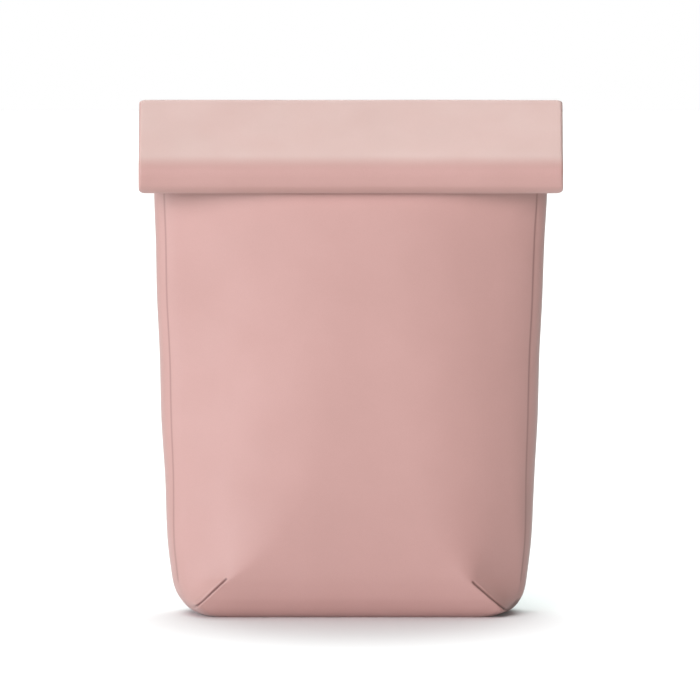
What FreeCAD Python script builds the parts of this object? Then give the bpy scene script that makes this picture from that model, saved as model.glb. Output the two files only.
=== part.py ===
import os

import FreeCAD
import Part
import Sketcher

# A free-standing roll-top bag of soft rubbery sheet. Its mouth is a flat tube of two sheets, folded
# forward over the ridge, down over the brow and up again behind the front band.
# Millimetres. +X points to the right of someone who faces the bag, -Y is its front, z = 0 the ground.

doc = FreeCAD.newDocument("roll_top_bag")
sizes = doc.addObject("Spreadsheet::Sheet", "sizes")

driving_sizes = {
    "sheet_thickness": 1.4,
    "layer_gap": 0.8,
    "seam_lap": 5.5,
    "tape_thickness": 0.8,
    "tape_width": 9.0,
    "roll_width": 246.5,
    "roll_top": 300.0,
    "roll_bottom": 247.0,
    "flap_slope": 34.5,
    "ridge_radius": 4.0,
    "brow_radius": 6.0,
    "hem_radius": 5.5,
    "neck_setback": 6.5,
    "lip_height": 10.5,
    "lip_clearance": 1.0,
    "stiffener_thickness": 1.0,
    "stiffener_margin": 3.0,
    "magnet_width": 20.0,
    "magnet_height": 8.0,
    "magnet_thickness": 1.2,
    "magnet_spacing": 26.0,
    "magnet_clearance": 0.3,
    "cover_thickness": 0.8,
    "cover_margin": 4.0,
    "board_thickness": 1.6,
    "board_clearance": 0.8,
    "dart_tip_out": 72.0,
    "dart_tip_height": 23.0,
    "dart_length": 19.0,
    "dart_lean": 45.0,
    "throat_corner_width": 8.0,
    "throat_corner_depth": 3.2,
}

# Levels of the pouch from the ground up: height, half width, front depth, back depth, half width of
# the flat faces between the creases, and half depth of the flat sides. At the throat the pouch is as
# wide as the roll, and the heights and fronts left out follow from the flap.
level_sizes = ("height", "half_width", "front", "back", "crease", "side")
levels = {
    "foot": (0.0, 82.0, 27.0, 27.0, 75.0, 10.0),
    "heel": (3.0, 92.6, 31.0, 31.0, 83.5, 11.0),
    "ankle": (12.0, 100.8, 34.4, 34.4, 84.2, 12.5),
    "shin": (24.0, 104.2, 35.7, 35.7, 72.5, 13.5),
    "knee": (45.0, 106.8, 36.0, 36.0, 69.0, 14.0),
    "waist": (150.0, 111.0, 31.6, 32.2, 54.0, 12.0),
    "chest": (240.0, 114.8, 22.0, 24.6, 62.0, 10.0),
    "shoulder": (None, 116.2, None, 22.0, 83.0, 9.0),
    "throat": (None, None, None, 21.5, None, None),
}
lower_levels = ("foot", "heel", "ankle", "shin", "knee", "waist")
for level, values in levels.items():
    for size, value in zip(level_sizes, values):
        if value is not None:
            driving_sizes[level + "_" + size] = value

for row, (alias, value) in enumerate(driving_sizes.items(), start=1):
    sizes.set("A%d" % row, alias)
    sizes.set("B%d" % row, str(value))
    sizes.setAlias("B%d" % row, alias)
doc.recompute()


# Expressions are put together as text from the aliases of the sheet.
def cell(alias):
    return "sizes." + alias


def add(*terms):
    return "(" + " + ".join(terms) + ")"


def take(first, *rest):
    return "(" + " - ".join((first,) + rest) + ")"


def multiply(*factors):
    return "(" + " * ".join(factors) + ")"


def halve(term):
    return "(" + term + " / 2)"


def negate(term):
    return "(0 - " + term + ")"


def number(expression):
    return float(sizes.evalExpression(expression))


sheet = cell("sheet_thickness")
gap = cell("layer_gap")
lap = cell("seam_lap")
tape = cell("tape_thickness")
slope = cell("flap_slope")
slope_cos = "cos(" + slope + ")"
slope_sin = "sin(" + slope + ")"
slope_tan = "tan(" + slope + ")"
roll_half = halve(cell("roll_width"))

# The way the back sheet's outward side faces, as a turn about +X from the pouch's back: half a turn on
# the band and a full turn on the lips.
upright = "0"
flap_turn = add("90", slope)
band_turn = "180"
lips_turn = "360"

# The centres of the three folds. Each radius is the back sheet's outside.
ridge_y = take(cell("throat_back"), cell("ridge_radius"))
ridge_z = take(cell("roll_top"), cell("ridge_radius"))
hem_y = negate(add(cell("chest_front"), cell("lip_clearance"), cell("hem_radius")))
hem_z = add(cell("roll_bottom"), cell("hem_radius"))
brow_y = add(take(hem_y, cell("hem_radius")), cell("brow_radius"))
brow_rise = add(take(cell("ridge_radius"), cell("brow_radius")), multiply(take(brow_y, ridge_y), slope_sin))
brow_z = add(ridge_z, brow_rise + " / " + slope_cos)
flap_length = add(multiply(take(ridge_y, brow_y), slope_cos), multiply(take(ridge_z, brow_z), slope_sin))
band_length = take(brow_z, hem_z)

# The front sheet lies a gap inside the back sheet, and the pouch's shoulder a gap below that.
inner_depth = add(sheet, gap)
stack_depth = add(sheet, gap, sheet)
fold_inside = halve(gap)
fold_outside = add(fold_inside, sheet)


# The point on the folded flap that lies offset from the ridge's centre across the sheets and setback
# along them.
def flap_point(offset, setback):
    y = take(ridge_y, multiply(offset, slope_sin), multiply(setback, slope_cos))
    z = take(add(ridge_z, multiply(offset, slope_cos)), multiply(setback, slope_sin))
    return y, z


shoulder_offset = take(cell("ridge_radius"), stack_depth, gap)
throat_y, throat_z = flap_point(shoulder_offset, cell("neck_setback"))
neck_y, neck_z = flap_point(add(shoulder_offset, fold_inside), cell("neck_setback"))

# Behind the band the front lip stands a gap from the band's inner sheet, and the back lip where the
# hem's outer turn ends.
lips_depth = take(multiply("2", cell("hem_radius")), stack_depth, gap)
inner_hem_y = add(take(hem_y, cell("hem_radius")), stack_depth, fold_inside)


def origin_plane(body, role):
    for feature in body.Origin.OriginFeatures:
        if feature.Role == role:
            return feature
    raise ValueError(role)


def bind(target, expressions):
    for name, expression in expressions.items():
        target.setExpression(name, expression)


def new_body(label):
    body = doc.addObject("PartDesign::Body", label)
    body.Label = label
    return body


# A sketch on the body's level plane, moved to (y, z) and turned about +X.
def level_sketch(body, name, y="0", z="0", turn=upright):
    sketch = body.newObject("Sketcher::SketchObject", name)
    sketch.AttachmentSupport = [(origin_plane(body, "XY_Plane"), "")]
    sketch.MapMode = "FlatFace"
    turned = FreeCAD.Rotation(FreeCAD.Vector(1, 0, 0), 90.0)
    sketch.AttachmentOffset = FreeCAD.Placement(FreeCAD.Vector(), turned)
    bind(sketch, {
        "AttachmentOffset.Base.y": y,
        "AttachmentOffset.Base.z": z,
        "AttachmentOffset.Rotation.Angle": turn,
    })
    return sketch


# A sketch seen from the front, across +X and up +Z, on the plane at depth y.
def front_sketch(body, name, y):
    sketch = body.newObject("Sketcher::SketchObject", name)
    sketch.AttachmentSupport = [(origin_plane(body, "XZ_Plane"), "")]
    sketch.MapMode = "FlatFace"
    bind(sketch, {"AttachmentOffset.Base.z": negate(y)})
    return sketch


# Holds a line's first end at a signed distance from the sketch's origin.
def dimension(sketch, kind, line, expression):
    value = number(expression)
    ends = (-1, 1, line, 1)
    if value < 0:
        ends = (line, 1, -1, 1)
        expression = negate(expression)
    made = sketch.addConstraint(Sketcher.Constraint(kind, *ends, abs(value)))
    sketch.setExpression("Constraints[%d]" % made, expression)


# A closed outline of straight lines through corners given as (across, up) expressions.
def outline(sketch, corners):
    points = [FreeCAD.Vector(number(across), number(up), 0) for across, up in corners]
    count = len(points)
    for index in range(count):
        sketch.addGeometry(Part.LineSegment(points[index], points[(index + 1) % count]), False)
    for index in range(count):
        sketch.addConstraint(Sketcher.Constraint("Coincident", index, 2, (index + 1) % count, 1))
    for index, (across, up) in enumerate(corners):
        dimension(sketch, "DistanceX", index, across)
        dimension(sketch, "DistanceY", index, up)


def rectangle(sketch, half_width, low, high):
    outline(sketch, [
        (negate(half_width), low),
        (half_width, low),
        (half_width, high),
        (negate(half_width), high),
    ])


def level_half_width(level):
    return roll_half if level == "throat" else cell(level + "_half_width")


# The height and the front of a level of the pouch, for a skin that lies inset inside its outer skin.
# The shoulder slopes under the flap, so its skins keep their distance square to the slope.
def level_place(level, inset):
    sloped_inset = inset + " / " + slope_sin
    sloped_y = add(throat_y, sloped_inset)
    if level == "foot":
        return add(cell("foot_height"), inset), add(negate(cell("foot_front")), inset)
    if level == "throat":
        return throat_z, sloped_y
    if level == "shoulder":
        front = add(negate(cell("chest_front")), inset)
        return take(throat_z, multiply(take(sloped_y, front), slope_tan)), front
    return cell(level + "_height"), add(negate(cell(level + "_front")), inset)


# Where the outer skin of a level turns: half width at the crease, and the ends of its flat side.
def level_turns(level):
    if level == "throat":
        depth = cell("throat_corner_depth")
        crease = take(roll_half, cell("throat_corner_width"))
        return crease, add(throat_y, depth), take(cell("throat_back"), depth)
    return cell(level + "_crease"), negate(cell(level + "_side")), cell(level + "_side")


# A level's outline, inset from the outer skin: flat faces front and back, flat sides, and a slanting
# facet at each corner, from the crease to the side.
def level_outline(sketch, level, inset):
    wide = level_half_width(level)
    front = level_place(level, "0")[1]
    back = cell(level + "_back")
    crease, side_front, side_back = level_turns(level)
    run = take(wide, crease)
    front_half_bend = halve("atan(" + take(side_front, front) + " / " + run + ")")
    back_half_bend = halve("atan(" + take(back, side_back) + " / " + run + ")")
    edge = take(wide, inset)
    front_crease = take(crease, multiply(inset, "tan(" + front_half_bend + ")"))
    back_crease = take(crease, multiply(inset, "tan(" + back_half_bend + ")"))
    side_low = add(side_front, multiply(inset, "tan(" + take("45 deg", front_half_bend) + ")"))
    side_high = take(side_back, multiply(inset, "tan(" + take("45 deg", back_half_bend) + ")"))
    inset_front = level_place(level, inset)[1]
    inset_back = take(back, inset)
    right = [
        (front_crease, inset_front), (edge, side_low), (edge, side_high), (back_crease, inset_back),
    ]
    left = [(negate(across), up) for across, up in reversed(right)]
    outline(sketch, right + left)


# A solid of the pouch's shape, inset from its outer skin.
def pouch_form(label, inset, form_levels):
    body = new_body(label)
    sections = []
    for level in form_levels:
        section = level_sketch(body, label + "_" + level, z=level_place(level, inset)[0])
        level_outline(section, level, inset)
        sections.append(section)
    doc.recompute()
    loft = body.newObject("PartDesign::AdditiveLoft", label + "_loft")
    loft.Profile = sections[0]
    loft.Sections = sections[1:]
    loft.Ruled = True
    body.Tip = loft
    doc.recompute()
    return body


def part_of(label, whole, region):
    piece = doc.addObject("Part::Common", label)
    piece.Base = whole
    piece.Tool = region
    return piece


def without(label, whole, region):
    piece = doc.addObject("Part::Cut", label)
    piece.Base = whole
    piece.Tool = region
    return piece


def pad(body, sketch, name, length):
    feature = body.newObject("PartDesign::Pad", name)
    feature.Profile = sketch
    feature.Length = number(length)
    bind(feature, {"Length": length})
    body.Tip = feature
    return feature


# A block as deep as the pouch, whose outline is seen from the front.
def front_block(label, corners):
    body = new_body(label)
    sketch = front_sketch(body, label + "_outline", roll_half)
    outline(sketch, corners)
    pad(body, sketch, label + "_pad", cell("roll_width"))
    return body


# A block across the pouch between two heights, from one side to the other.
def slab(label, low, high):
    body = new_body(label)
    sketch = level_sketch(body, label + "_outline", z=low)
    rectangle(sketch, roll_half, negate(roll_half), roll_half)
    pad(body, sketch, label + "_pad", take(high, low))
    return body


# The sheet of the pouch, and a thinner skin on its inside for what is welded there.
outer_form = pouch_form("outer_form", "0", levels)
inner_form = pouch_form("inner_form", sheet, levels)
lining_form = pouch_form("lining_form", add(sheet, tape), lower_levels)
wall = without("wall", outer_form, inner_form)
lining = without("lining", inner_form, lining_form)


# Seams run up all four corners, one lap inside the outline as seen from the front. Each gusset wraps
# round its side to the two seams there.
def seam_line(level):
    return take(level_half_width(level), lap), level_place(level, "0")[0]


seams_right = [seam_line(level) for level in levels]
seams_left = [(negate(across), up) for across, up in reversed(seams_right)]
between_seams = front_block("between_seams", seams_right + seams_left)

# What is in front of the middle of the sides: a plane that stands in the pouch and leans back with the
# shoulder.
front_of_all = negate(roll_half)
in_front = new_body("in_front")
profile = in_front.newObject("Sketcher::SketchObject", "in_front_profile")
profile.AttachmentSupport = [(origin_plane(in_front, "YZ_Plane"), "")]
profile.MapMode = "FlatFace"
bind(profile, {"AttachmentOffset.Base.z": negate(roll_half)})
throat_sides = level_turns("throat")[1:]
outline(profile, [
    (front_of_all, "0"),
    ("0", "0"),
    ("0", level_place("shoulder", "0")[0]),
    (halve(add(*throat_sides)), throat_z),
    (front_of_all, throat_z),
])
pad(in_front, profile, "in_front_pad", cell("roll_width"))

base_slab = slab("base_slab", cell("foot_height"), add(cell("foot_height"), sheet))
base_panel = part_of("base_panel", wall, base_slab)
sides = without("sides", wall, base_slab)
faces = part_of("faces", sides, between_seams)
whole_front = part_of("whole_front", faces, in_front)
whole_back = without("whole_back", faces, in_front)
gussets = without("gussets", sides, between_seams)


def half_block(label, side):
    return front_block(label, [("0", "0"), (side, "0"), (side, ridge_z), ("0", ridge_z)])


side_gusset_left = part_of("side_gusset_left", gussets, half_block("left_half", negate(roll_half)))
side_gusset_right = part_of("side_gusset_right", gussets, half_block("right_half", roll_half))

# The front ends square to the slope at the neck, and the back goes on up to the ridge.
neck_cut_depth = multiply("2", stack_depth)
neck_trim = new_body("neck_trim")
neck_sketch = level_sketch(neck_trim, "neck_trim_outline", neck_y, neck_z, flap_turn)
rectangle(neck_sketch, roll_half, negate(neck_cut_depth), fold_outside)
neck_cut = pad(neck_trim, neck_sketch, "neck_trim_pad", cell("neck_setback"))
neck_cut.Reversed = True
front_panel = without("front_panel", whole_front, neck_trim)

rim = new_body("rim")
rim_sketch = level_sketch(rim, "rim_outline", z=throat_z)
rectangle(rim_sketch, roll_half, take(cell("throat_back"), sheet), cell("throat_back"))
pad(rim, rim_sketch, "rim_pad", take(ridge_z, throat_z))
back_panel = doc.addObject("Part::Fuse", "back_panel")
back_panel.Base = whole_back
back_panel.Tool = rim


# A tape is welded over each bottom corner's dart from inside.
def dart_strip(label, out, lean):
    body = new_body(label)
    sketch = front_sketch(body, label + "_outline", "0")
    turned = FreeCAD.Rotation(FreeCAD.Vector(0, 0, 1), number(lean))
    sketch.AttachmentOffset = FreeCAD.Placement(FreeCAD.Vector(), turned)
    bind(sketch, {
        "AttachmentOffset.Base.x": out,
        "AttachmentOffset.Base.y": cell("dart_tip_height"),
        "AttachmentOffset.Rotation.Angle": lean,
    })
    rectangle(sketch, halve(cell("tape_width")), negate(cell("dart_length")), "0")
    pad(body, sketch, label + "_pad", negate(front_of_all))
    return body


dart_out = cell("dart_tip_out")
dart_lean = cell("dart_lean")
left_dart = dart_strip("left_dart", negate(dart_out), negate(dart_lean))
right_dart = dart_strip("right_dart", dart_out, dart_lean)
corner_dart_tape_left = part_of("corner_dart_tape_left", lining, left_dart)
corner_dart_tape_right = part_of("corner_dart_tape_right", lining, right_dart)

# A board keeps the base flat.
base_board = new_body("base_board")
board_sketch = level_sketch(base_board, "board_outline", z=add(cell("foot_height"), sheet))
board_inset = add(sheet, tape, cell("board_clearance"))
level_outline(board_sketch, "foot", board_inset)
pad(base_board, board_sketch, "board_pad", cell("board_thickness"))


# Arcs of sheet round a fold, from one turn through a swing. A fold is made where the roll is tight, so
# it is a piece of its own between the flat lengths.
def fold(label, centre, turn, swing, inside, outside, half_width):
    body = new_body(label)
    sketch = level_sketch(body, label + "_section", centre[0], centre[1], turn)
    rectangle(sketch, half_width, inside, outside)
    bend = body.newObject("PartDesign::Revolution", label + "_bend")
    bend.Profile = sketch
    bend.ReferenceAxis = (sketch, ["H_Axis"])
    bend.Angle = number(swing)
    bind(bend, {"Angle": swing})
    body.Tip = bend
    return body


front_half_width = take(roll_half, lap)
ridge = (ridge_y, ridge_z)
brow = (brow_y, brow_z)
hem = (hem_y, hem_z)
ridge_radius = cell("ridge_radius")
brow_radius = cell("brow_radius")
hem_radius = cell("hem_radius")
brow_swing = take("90", slope)
brow_inner_radius = take(brow_radius, inner_depth)

ridge_fold = fold(
    "ridge_fold", ridge, upright, flap_turn, take(ridge_radius, sheet), ridge_radius, roll_half)
neck_fold = fold(
    "neck_fold", (neck_y, neck_z), take(flap_turn, "180"), "180", fold_inside, fold_outside,
    front_half_width)
brow_fold = fold(
    "brow_fold", brow, flap_turn, brow_swing, take(brow_radius, sheet), brow_radius, roll_half)
brow_inner_fold = fold(
    "brow_inner_fold", brow, flap_turn, brow_swing, take(brow_inner_radius, sheet), brow_inner_radius,
    front_half_width)
hem_fold = fold("hem_fold", hem, band_turn, "180", take(hem_radius, sheet), hem_radius, roll_half)
hem_inner_fold = fold(
    "hem_inner_fold", (inner_hem_y, hem_z), band_turn, "180", fold_inside, fold_outside, front_half_width)


# A flat length of the tube's back sheet, whose edges turn in and lap over the front sheet. Its section
# stands on the fold at its start, outside is the sheet's outward face and depth reaches the front face.
def lapped_sheet(label, start, turn, outside, depth, length):
    body = new_body(label)
    section = level_sketch(body, label + "_section", start[0], start[1], turn)
    rectangle(section, roll_half, take(outside, depth), outside)
    pad(body, section, label + "_pad", length)
    hollow = level_sketch(body, label + "_hollow", start[0], start[1], turn)
    rectangle(hollow, take(roll_half, sheet), add(take(outside, depth), sheet), take(outside, sheet))
    inside = body.newObject("PartDesign::Pocket", label + "_inside")
    window = level_sketch(body, label + "_window", start[0], start[1], turn)
    rectangle(window, front_half_width, take(outside, depth), add(take(outside, depth), sheet))
    opening = body.newObject("PartDesign::Pocket", label + "_opening")
    for pocket, profile in ((inside, hollow), (opening, window)):
        pocket.Profile = profile
        pocket.Length = number(length)
        pocket.Reversed = True
        bind(pocket, {"Length": length})
    body.Tip = opening
    return body


# A flat strip of sheet or board that starts at a fold, between inside and outside of its section.
def strip(label, start, turn, inside, outside, half_width, length):
    body = new_body(label)
    section = level_sketch(body, label + "_section", start[0], start[1], turn)
    rectangle(section, half_width, inside, outside)
    pad(body, section, label + "_pad", length)
    return body


flap_outer_sheet = lapped_sheet(
    "flap_outer_sheet", ridge, flap_turn, ridge_radius, stack_depth, flap_length)
flap_inner_sheet = strip(
    "flap_inner_sheet", flap_point("0", cell("neck_setback")), flap_turn,
    take(ridge_radius, stack_depth), take(ridge_radius, inner_depth), front_half_width,
    take(flap_length, cell("neck_setback")))
band_outer_sheet = lapped_sheet(
    "band_outer_sheet", brow, band_turn, brow_radius, stack_depth, band_length)
band_inner_sheet = strip(
    "band_inner_sheet", brow, band_turn, take(brow_radius, stack_depth),
    take(brow_radius, inner_depth), front_half_width, band_length)
lip_back_sheet = lapped_sheet(
    "lip_back_sheet", hem, lips_turn, hem_radius, lips_depth, cell("lip_height"))
lip_front_sheet = strip(
    "lip_front_sheet", hem, lips_turn, take(hem_radius, lips_depth),
    add(take(hem_radius, lips_depth), sheet), front_half_width, cell("lip_height"))

# A stiffener in each lip keeps the roll straight, and magnets hold the back lip to the front panel.
stiffener = cell("stiffener_thickness")
stiffener_half = take(front_half_width, cell("stiffener_margin"))
lip_front_face = add(take(hem_radius, lips_depth), sheet)
lip_back_face = take(hem_radius, sheet)
lip_front_stiffener = strip(
    "lip_front_stiffener", hem, lips_turn, lip_front_face, add(lip_front_face, stiffener),
    stiffener_half, cell("lip_height"))
lip_back_stiffener = strip(
    "lip_back_stiffener", hem, lips_turn, take(lip_back_face, stiffener), lip_back_face,
    stiffener_half, cell("lip_height"))


# Bar magnets in a row across the bag, evenly spaced about its middle. Face is their front.
magnet_count = 4
magnet_steps = [step - (magnet_count - 1) / 2 for step in range(magnet_count)]
magnet_places = [multiply(cell("magnet_spacing"), str(step)) for step in magnet_steps]
magnet_low = add(hem_z, halve(take(cell("lip_height"), cell("magnet_height"))))


def magnet_row(label, face):
    bars = []
    for place in magnet_places:
        bar = doc.addObject("Part::Box", label + "_bar")
        bind(bar, {
            "Length": cell("magnet_width"),
            "Width": cell("magnet_thickness"),
            "Height": cell("magnet_height"),
            "Placement.Base.x": take(place, halve(cell("magnet_width"))),
            "Placement.Base.y": face,
            "Placement.Base.z": magnet_low,
        })
        bars.append(bar)
    row = doc.addObject("Part::Compound", label)
    row.Links = bars
    return row


lip_magnet_face = take(add(hem_y, lip_back_face), stiffener, cell("magnet_thickness"))
lip_magnets = magnet_row("lip_magnets", lip_magnet_face)
panel_inside = take(sheet, cell("chest_front"))
catch_magnets = magnet_row("catch_magnets", add(panel_inside, cell("magnet_clearance")))

# The catch magnets sit in the pockets of a cover that is welded to the inside of the front panel.
catch_magnet_cover = new_body("catch_magnet_cover")
cover_sketch = front_sketch(catch_magnet_cover, "cover_outline", panel_inside)
pocket_half = add(halve(cell("magnet_width")), cell("magnet_clearance"))
pocket_low = take(magnet_low, cell("magnet_clearance"))
pocket_high = add(magnet_low, cell("magnet_height"), cell("magnet_clearance"))
cover_half = add(magnet_places[-1], pocket_half, cell("cover_margin"))
cover_edge = halve(cell("cover_margin"))
rectangle(cover_sketch, cover_half, take(pocket_low, cover_edge), add(pocket_high, cover_edge))
pocket_depth = add(cell("magnet_clearance"), cell("magnet_thickness"), cell("magnet_clearance"))
cover_pad = pad(catch_magnet_cover, cover_sketch, "cover_pad", add(pocket_depth, cell("cover_thickness")))
cover_pad.Reversed = True
for place in magnet_places:
    pocket_sketch = front_sketch(catch_magnet_cover, "magnet_pocket_outline", panel_inside)
    outline(pocket_sketch, [
        (take(place, pocket_half), pocket_low),
        (add(place, pocket_half), pocket_low),
        (add(place, pocket_half), pocket_high),
        (take(place, pocket_half), pocket_high),
    ])
    pocket = catch_magnet_cover.newObject("PartDesign::Pocket", "magnet_pocket")
    pocket.Profile = pocket_sketch
    pocket.Length = number(pocket_depth)
    bind(pocket, {"Length": pocket_depth})
    catch_magnet_cover.Tip = pocket

nodes = [
    front_panel, back_panel, side_gusset_left, side_gusset_right, base_panel, base_board,
    corner_dart_tape_left, corner_dart_tape_right, catch_magnets, catch_magnet_cover, ridge_fold, neck_fold,
    flap_outer_sheet, flap_inner_sheet,
    brow_fold, brow_inner_fold, band_outer_sheet, band_inner_sheet,
    hem_fold, hem_inner_fold, lip_back_sheet, lip_front_sheet,
    lip_back_stiffener, lip_front_stiffener, lip_magnets,
]

doc.recompute()
for feature in doc.Objects:
    for fault in ("Invalid", "Error"):
        if fault in feature.State:
            raise RuntimeError("%s: %s" % (feature.Label, feature.State))
for node in nodes:
    if node.Shape.isNull() or not node.Shape.isValid() or node.Shape.Volume <= 0:
        raise RuntimeError("no sound shape: " + node.Label)

os.makedirs("parts", exist_ok=True)
for node in nodes:
    node.Shape.exportStep(os.path.join("parts", node.Label + ".step"))
    box = node.Shape.BoundBox
    print("%-24s %d solid(s) %9.1f mm3  x %.1f..%.1f y %.1f..%.1f z %.1f..%.1f" % (
        node.Label, len(node.Shape.Solids), node.Shape.Volume,
        box.XMin, box.XMax, box.YMin, box.YMax, box.ZMin, box.ZMax))
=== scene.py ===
import math
import bmesh
import bpy
import numpy as np
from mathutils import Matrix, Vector, noise


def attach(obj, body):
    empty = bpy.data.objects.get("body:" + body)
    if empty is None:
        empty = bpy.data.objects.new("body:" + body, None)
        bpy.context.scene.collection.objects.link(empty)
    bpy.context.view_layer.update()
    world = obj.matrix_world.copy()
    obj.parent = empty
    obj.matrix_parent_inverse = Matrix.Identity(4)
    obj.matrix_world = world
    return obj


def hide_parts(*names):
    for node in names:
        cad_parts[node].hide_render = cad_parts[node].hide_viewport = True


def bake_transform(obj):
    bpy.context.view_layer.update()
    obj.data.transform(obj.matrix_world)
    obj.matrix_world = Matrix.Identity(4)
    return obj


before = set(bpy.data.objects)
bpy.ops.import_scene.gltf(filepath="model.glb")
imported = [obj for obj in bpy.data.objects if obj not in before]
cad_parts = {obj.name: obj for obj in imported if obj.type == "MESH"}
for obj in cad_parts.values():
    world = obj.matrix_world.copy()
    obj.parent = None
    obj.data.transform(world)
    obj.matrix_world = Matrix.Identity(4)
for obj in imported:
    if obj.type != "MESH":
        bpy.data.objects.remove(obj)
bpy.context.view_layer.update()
mm = 0.001
bpy.context.scene.view_settings.view_transform = "Standard"


def clearSelection():
    if bpy.context.mode != "OBJECT":
        bpy.ops.object.mode_set(mode="OBJECT")
    bpy.ops.object.select_all(action="DESELECT")


def makeActive(piece):
    clearSelection()
    piece.select_set(True)
    bpy.context.view_layer.objects.active = piece


def applyAll(piece):
    makeActive(piece)
    for modifier in list(piece.modifiers):
        bpy.ops.object.modifier_apply(modifier=modifier.name)


def readPoints(piece):
    points = np.empty(len(piece.data.vertices) * 3)
    piece.data.vertices.foreach_get("co", points)
    return points.reshape(-1, 3)


def readNormals(piece):
    normals = np.empty(len(piece.data.vertices) * 3)
    piece.data.vertices.foreach_get("normal", normals)
    return normals.reshape(-1, 3)


def writePoints(piece, points):
    piece.data.vertices.foreach_set("co", points.ravel())
    piece.data.update()


# A smooth curve through a table's values, without overshoot
def smoothTable(heights, values, at):
    heights, values = np.array(heights, float), np.array(values, float)
    steps = np.diff(heights)
    slopes = np.diff(values) / steps
    ends = np.zeros(len(values))
    same = slopes[:-1] * slopes[1:] > 0
    weightA, weightB = 2 * steps[1:] + steps[:-1], steps[1:] + 2 * steps[:-1]
    with np.errstate(divide="ignore", invalid="ignore"):
        inner = (weightA + weightB) / (weightA / slopes[:-1] + weightB / slopes[1:])
    ends[1:-1] = np.where(same, inner, 0.0)
    ends[0], ends[-1] = slopes[0], slopes[-1]
    at = np.asarray(at, float)
    spot = np.clip(np.searchsorted(heights, at, side="right") - 1, 0, len(steps) - 1)
    t = (at - heights[spot]) / steps[spot]
    return (values[spot] * (1 + 2 * t) * (1 - t) ** 2 + steps[spot] * ends[spot] * t * (1 - t) ** 2
            + values[spot + 1] * t * t * (3 - 2 * t) + steps[spot] * ends[spot + 1] * t * t * (t - 1))


def easeBetween(low, high, values):
    t = np.clip((values - low) / (high - low), 0, 1)
    return t * t * (3 - 2 * t)


def wander(places, size, seed):
    return np.array([noise.noise(Vector(place / size) + Vector((seed, 2.7 * seed, -seed))) for place in places])


# ---- materials
siliconePink = {
    "colour": (0.40, 0.236, 0.215), "paleColour": (0.41, 0.243, 0.222), "deepColour": (0.39, 0.230, 0.209),
    "cloudSize": 22.0, "speckSize": 2600.0, "speck": (0.975, 1.02), "wearSize": 34.0, "wear": (-0.05, 0.07),
    "roughness": 0.5, "specular": 0.42, "sheen": 0.12, "sheenRoughness": 0.5,
    "grainSize": 1500.0, "grainDepth": 0.00006, "softSize": 55.0, "softDepth": 0.0006,
    # the last entries are painted shade: a dark colour mixed in where shadow falls in the darts, the seam grooves and
    # under a corner
    "paintedShadeColour": (0.11, 0.045, 0.04), "dartWidth": 1.15, "dartShade": 0.95, "seamWidth": 0.95, "seamShade": 0.42,
    "underWidth": 2.6, "underShade": 0.8,
}
lineReach = 5.0  # distance from a line, in mm, at which its attribute, which places painted shade, has fallen from one to nothing


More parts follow.
